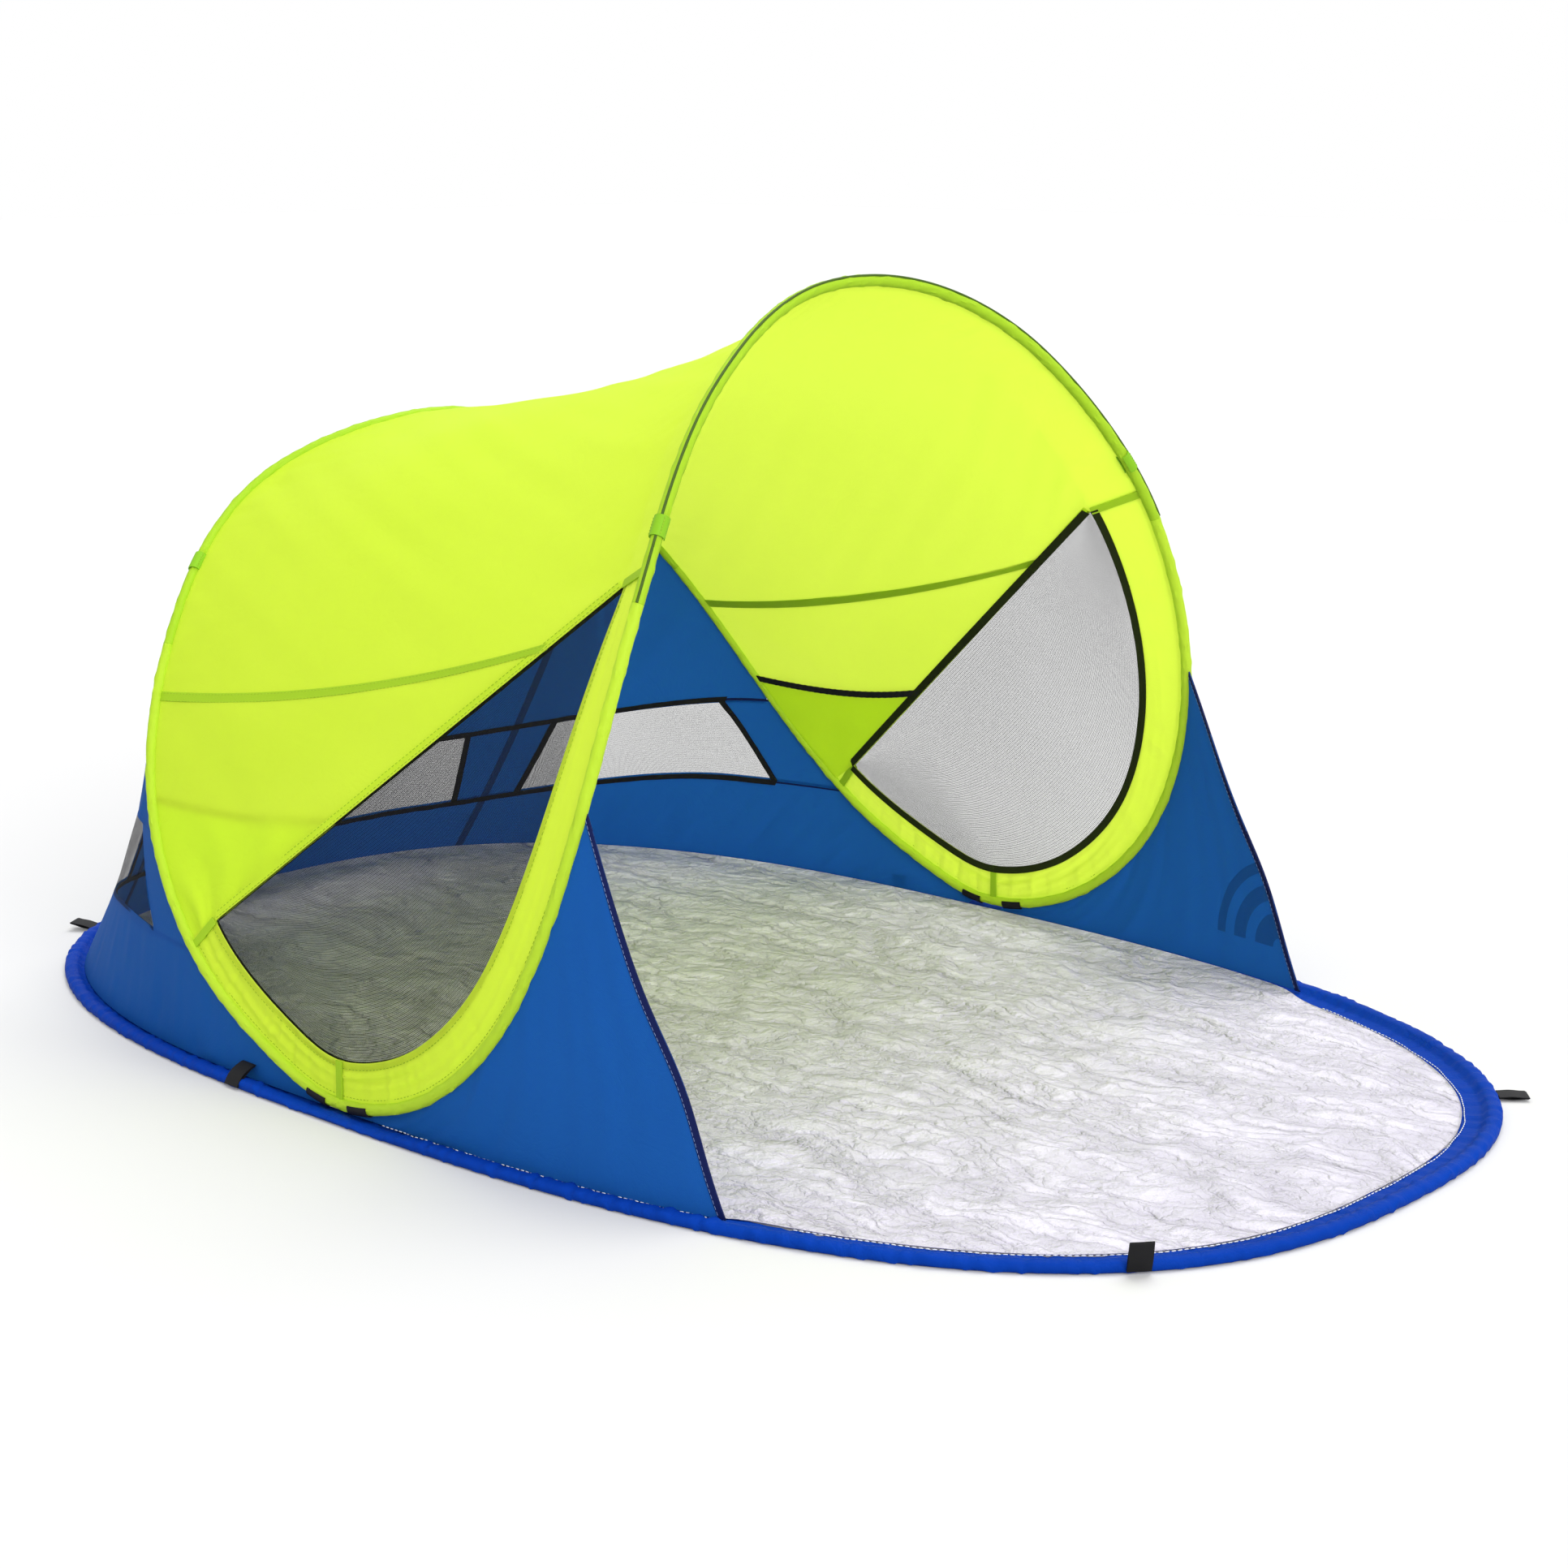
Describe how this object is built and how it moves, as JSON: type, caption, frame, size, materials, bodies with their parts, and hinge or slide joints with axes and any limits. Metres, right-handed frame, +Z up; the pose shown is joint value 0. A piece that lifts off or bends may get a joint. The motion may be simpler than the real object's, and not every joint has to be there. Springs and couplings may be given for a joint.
{
  "type": "beach tent",
  "caption": "Self-opening beach tent on two sprung wire rings, with lime roof and sides, mesh windows, blue back wall and front wings, open front and silver floor.",
  "frame": {"origin": "on the ground at the middle of the floor ring", "axes": "+X towards the open front, +Y to the left of someone who looks out of the tent, +Z up"},
  "size_m": [1.95, 1.2244, 0.921],
  "materials": {
    "lime_polyester": "light woven polyester with a slight sheen",
    "blue_polyester": "light woven polyester with a slight sheen",
    "hem_blue_nylon": "smooth woven nylon, gathered",
    "navy_tape": "flat woven tape",
    "green_piping": "thin dark cord piping",
    "black_tape": "flat woven tape, matt",
    "black_mesh": "open insect mesh",
    "black_webbing": "ribbed webbing",
    "silver_floor": "silver coated sheet, crinkled",
    "spring_steel": "tempered wire"
  },
  "bodies": {
    "rear_floor": {"back_wall_lower": "blue_polyester", "back_wall_outer_left": "blue_polyester", "back_wall_outer_right": "blue_polyester", "back_wall_strip_left": "blue_polyester", "back_wall_strip_right": "blue_polyester", "back_wall_upper": "blue_polyester", "back_window_binding": "black_tape", "back_window_centre": "black_mesh", "back_window_left": "black_mesh", "back_window_right": "black_mesh", "floor_ferrule": "spring_steel", "floor_sheet_rear": "silver_floor", "floor_wire_rear": "spring_steel", "foot_wire_left": "spring_steel", "foot_wire_right": "spring_steel", "hem_rear": "hem_blue_nylon", "rear_leg_left_sleeve": "lime_polyester", "rear_leg_right_sleeve": "lime_polyester", "rear_tie_left": "black_webbing", "rear_tie_right": "black_webbing"},
    "rear_arch": {"canopy_ferrule": "spring_steel", "pocket_elastic_left": "black_tape", "pocket_elastic_right": "black_tape", "rear_band_left": "lime_polyester", "rear_band_right": "lime_polyester", "rear_crown_sleeve": "lime_polyester", "rear_crown_wire": "spring_steel", "rear_tab_left": "lime_polyester", "rear_tab_right": "lime_polyester", "roof": "lime_polyester", "side_mesh_left": "black_mesh", "side_mesh_right": "black_mesh", "side_panel_left": "lime_polyester", "side_panel_right": "lime_polyester", "side_pocket_left": "lime_polyester", "side_pocket_right": "lime_polyester"},
    "front_arch": {"front_band_left": "lime_polyester", "front_band_right": "lime_polyester", "front_crown_piping": "green_piping", "front_crown_sleeve": "lime_polyester", "front_crown_wire": "spring_steel", "front_leg_left_sleeve": "lime_polyester", "front_leg_right_sleeve": "lime_polyester", "front_tab_left": "lime_polyester", "front_tab_right": "lime_polyester", "wing_binding_left": "navy_tape", "wing_binding_right": "navy_tape", "wing_left": "blue_polyester", "wing_right": "blue_polyester"},
    "front_floor": {"floor_sheet_front": "silver_floor", "floor_wire_front": "spring_steel", "front_tie_left": "black_webbing", "front_tie_right": "black_webbing", "hem_front": "hem_blue_nylon"},
    "loop_front_left": {"peg_loop_front_left": "black_webbing"},
    "loop_front_right": {"peg_loop_front_right": "black_webbing"},
    "loop_middle_left": {"peg_loop_middle_left": "black_webbing"},
    "loop_middle_right": {"peg_loop_middle_right": "black_webbing"},
    "loop_rear_left": {"peg_loop_rear_left": "black_webbing"},
    "loop_rear_right": {"peg_loop_rear_right": "black_webbing"}
  },
  "joints": [
    {"name": "rear_arch_fold", "type": "hinge", "parent": "rear_floor", "child": "rear_arch", "pos_m": [-0.047, 0, 0.008], "axis": [0, -1, 0], "range_deg": [0, 40], "stiffness_Nm_per_rad": 10, "springref_deg": -17.19, "deforming": ["pocket_elastic_left", "pocket_elastic_right", "rear_band_left", "rear_band_right", "roof", "side_mesh_left", "side_mesh_right", "side_panel_left", "side_panel_right", "side_pocket_left", "side_pocket_right", "back_wall_lower", "back_wall_outer_left", "back_wall_outer_right", "back_wall_strip_left", "back_wall_strip_right", "back_wall_upper", "back_window_binding", "back_window_centre", "back_window_left", "back_window_right", "foot_wire_left", "foot_wire_right", "rear_leg_left_sleeve", "rear_leg_right_sleeve"]},
    {"name": "front_arch_fold", "type": "hinge", "parent": "rear_arch", "child": "front_arch", "pos_m": [-0.047, 0, 0.008], "axis": [0, -1, 0], "range_deg": [0, 40], "stiffness_Nm_per_rad": 10, "springref_deg": -17.19, "deforming": ["front_band_left", "front_band_right", "front_leg_left_sleeve", "front_leg_right_sleeve"]},
    {"name": "front_floor_fold", "type": "hinge", "parent": "front_arch", "child": "front_floor", "pos_m": [-0.047, 0, 0.008], "axis": [0, -1, 0], "range_deg": [0, 50], "stiffness_Nm_per_rad": 10, "springref_deg": -17.19, "deforming": ["wing_binding_left", "wing_binding_right", "wing_left", "wing_right"]},
    {"name": "loop_front_left_turn", "type": "hinge", "parent": "front_floor", "child": "loop_front_left", "pos_m": [0.87612, 0.35075, 0.004], "axis": [0.6359, -0.7718, 0], "range_deg": [0, 125], "stiffness_Nm_per_rad": 0.002},
    {"name": "loop_front_right_turn", "type": "hinge", "parent": "front_floor", "child": "loop_front_right", "pos_m": [0.87612, -0.35075, 0.004], "axis": [-0.6359, -0.7718, 0], "range_deg": [-75, 50], "stiffness_Nm_per_rad": 0.002},
    {"name": "loop_middle_left_turn", "type": "hinge", "parent": "rear_floor", "child": "loop_middle_left", "pos_m": [-0.22066, 0.61042, 0.004], "axis": [0.9995, 0.03, 0], "range_deg": [-120, 5], "stiffness_Nm_per_rad": 0.002},
    {"name": "loop_middle_right_turn", "type": "hinge", "parent": "rear_floor", "child": "loop_middle_right", "pos_m": [-0.22066, -0.61042, 0.004], "axis": [-0.9995, 0.03, 0], "range_deg": [-120, 5], "stiffness_Nm_per_rad": 0.002},
    {"name": "loop_rear_left_turn", "type": "hinge", "parent": "rear_floor", "child": "loop_rear_left", "pos_m": [-0.90825, 0.32698, 0.004], "axis": [0.5097, 0.8603, 0], "range_deg": [0, 125], "stiffness_Nm_per_rad": 0.002},
    {"name": "loop_rear_right_turn", "type": "hinge", "parent": "rear_floor", "child": "loop_rear_right", "pos_m": [-0.90825, -0.32698, 0.004], "axis": [-0.5097, 0.8603, 0], "range_deg": [-12, 113], "stiffness_Nm_per_rad": 0.002}
  ]
}
